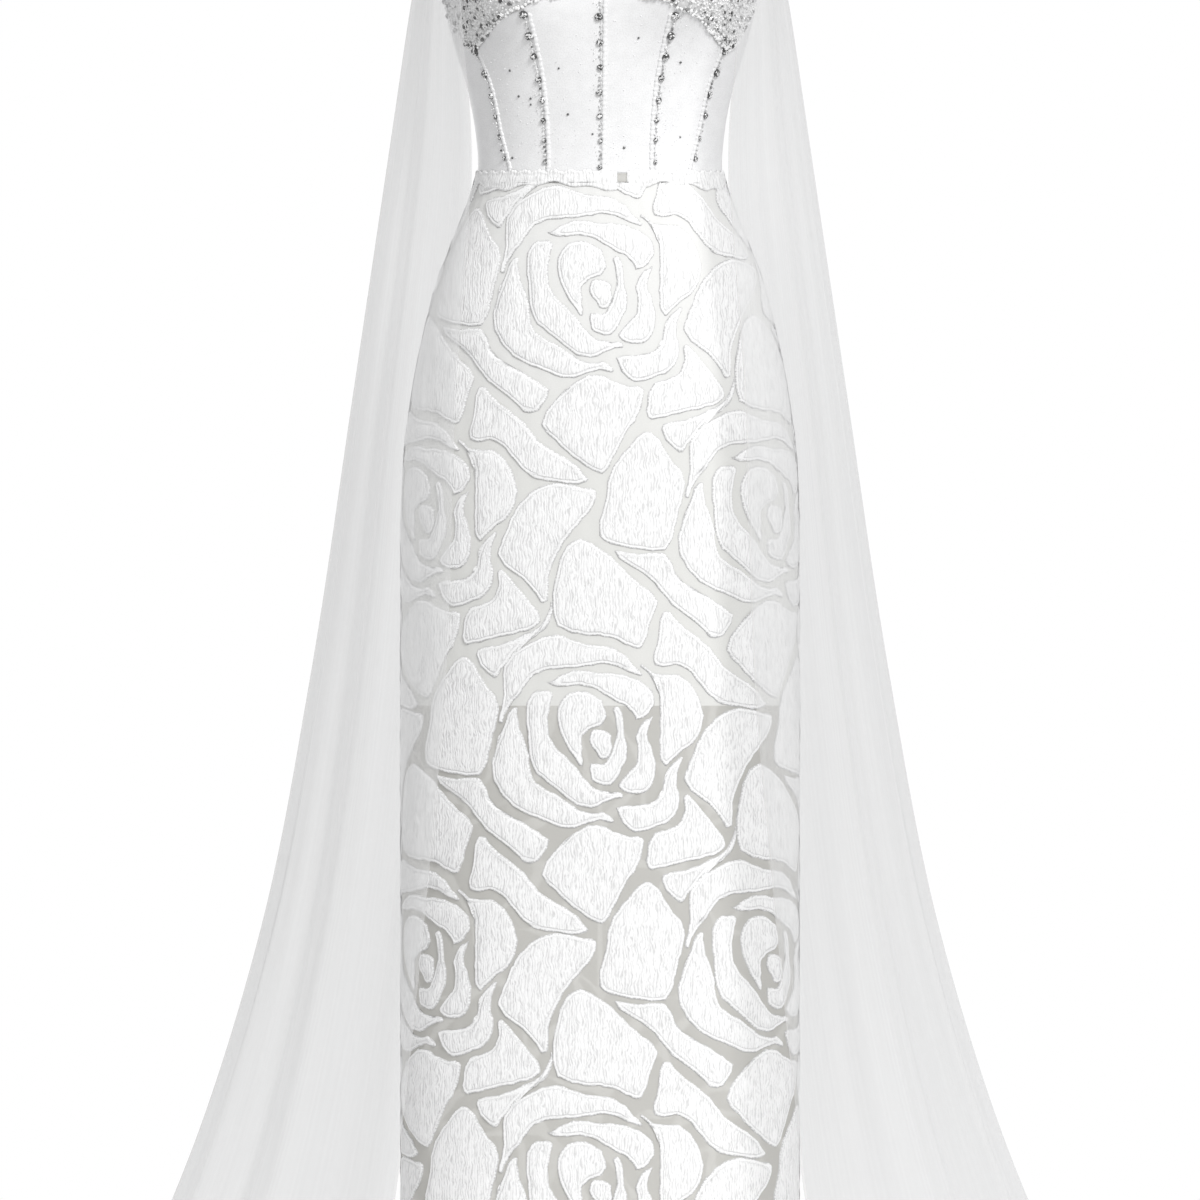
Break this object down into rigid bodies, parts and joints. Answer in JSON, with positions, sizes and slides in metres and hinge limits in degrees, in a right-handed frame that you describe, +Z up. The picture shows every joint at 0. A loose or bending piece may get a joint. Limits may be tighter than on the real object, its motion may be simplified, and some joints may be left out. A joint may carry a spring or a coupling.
{
  "type": "sheath dress",
  "caption": "Floor-length white sheath gown, worn shape: boned bodice with beaded seams, rose-patterned straight skirt, sheer tulle panel from each shoulder.",
  "frame": {"origin": "centre of the waist seam, where the wearer's waist holds the gown", "axes": "+Z up the body, -Y to the wearer's front, +X to the wearer's left"},
  "size_m": [0.905, 0.4767, 1.4813],
  "materials": {
    "satin": "smooth satin, soft sheen",
    "crystal_mesh": "net covered with clear crystals, sequins and silver seed beads",
    "crystal": "clear faceted stones on a silver beaded tape",
    "rose_cloth": "raised crinkled petals on a sheer ground",
    "lining": "plain matt lining",
    "tulle": "sheer soft tulle",
    "zip_metal": "white lacquered zip slider and tab"
  },
  "bodies": {
    "gown": {"bodice_back_centre_left": "satin", "bodice_back_centre_right": "satin", "bodice_back_side_left": "satin", "bodice_back_side_right": "satin", "bodice_front_centre_left": "satin", "bodice_front_centre_right": "satin", "bodice_front_side_left": "satin", "bodice_front_side_right": "satin", "bodice_side_left": "satin", "bodice_side_right": "satin", "cup_left": "crystal_mesh", "cup_right": "crystal_mesh", "lining_back": "lining", "lining_front": "lining", "seam_beading_centre": "crystal", "seam_beading_inner_left": "crystal", "seam_beading_inner_right": "crystal", "seam_beading_outer_left": "crystal", "seam_beading_outer_right": "crystal", "skirt_back_left": "rose_cloth", "skirt_back_right": "rose_cloth", "skirt_front": "rose_cloth", "strap_left": "satin", "strap_right": "satin", "tulle_left": "tulle", "tulle_right": "tulle", "zip_placket": "satin", "zip_slider": "zip_metal"},
    "pull_tab": {"zip_pull_tab": "zip_metal"}
  },
  "joints": [
    {"name": "tab_swing", "type": "hinge", "parent": "gown", "child": "pull_tab", "pos_m": [0, 0.10407, 0.1807], "axis": [1, 0, 0], "range_deg": [0, 150]}
  ]
}
